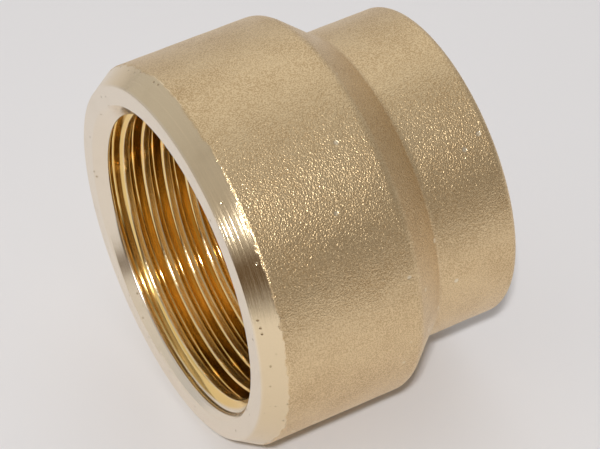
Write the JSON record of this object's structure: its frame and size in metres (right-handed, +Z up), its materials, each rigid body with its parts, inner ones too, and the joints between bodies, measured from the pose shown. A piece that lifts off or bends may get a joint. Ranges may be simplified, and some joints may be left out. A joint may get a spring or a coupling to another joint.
{
  "type": "reducing coupling",
  "caption": "Forged brass reducing coupling: a round socket with a G 1 internal pipe thread in its large end and a G 3/4 internal pipe thread in its small end.",
  "frame": {"origin": "on the surface that the coupling lies on, under the middle of its length", "axes": "-X out of the large mouth along the coupling's axis, +X out of the small mouth, +Z up; the coupling lies on its large barrel"},
  "size_m": [0.0308, 0.041, 0.041],
  "materials": {
    "forged_brass": "shot-blasted forging, turned bright on both faces, on the chamfer around the large mouth, and in the threads"
  },
  "bodies": {
    "root": {"coupling_body": "forged_brass"}
  },
  "joints": []
}
